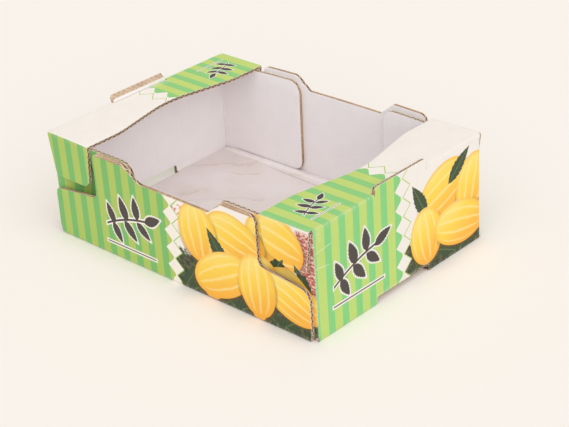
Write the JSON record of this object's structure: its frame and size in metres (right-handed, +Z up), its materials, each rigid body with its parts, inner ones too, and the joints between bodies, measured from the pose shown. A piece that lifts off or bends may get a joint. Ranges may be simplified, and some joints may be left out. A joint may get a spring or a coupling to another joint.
{
  "type": "cardboard tray box",
  "caption": "Open fruit tray folded from one sheet of printed corrugated board, with a shelf over each end, dipped long walls and tabs and foot notches for stacking.",
  "frame": {"origin": "middle of the tray's underside, on the surface that it stands on", "axes": "+X along the length towards the right-hand end, +Y from the low front wall to the back wall, +Z up"},
  "size_m": [0.42, 0.296, 0.1435],
  "materials": {
    "board": "matte printed corrugated board"
  },
  "bodies": {
    "root": {"tray": "board"}
  },
  "joints": []
}
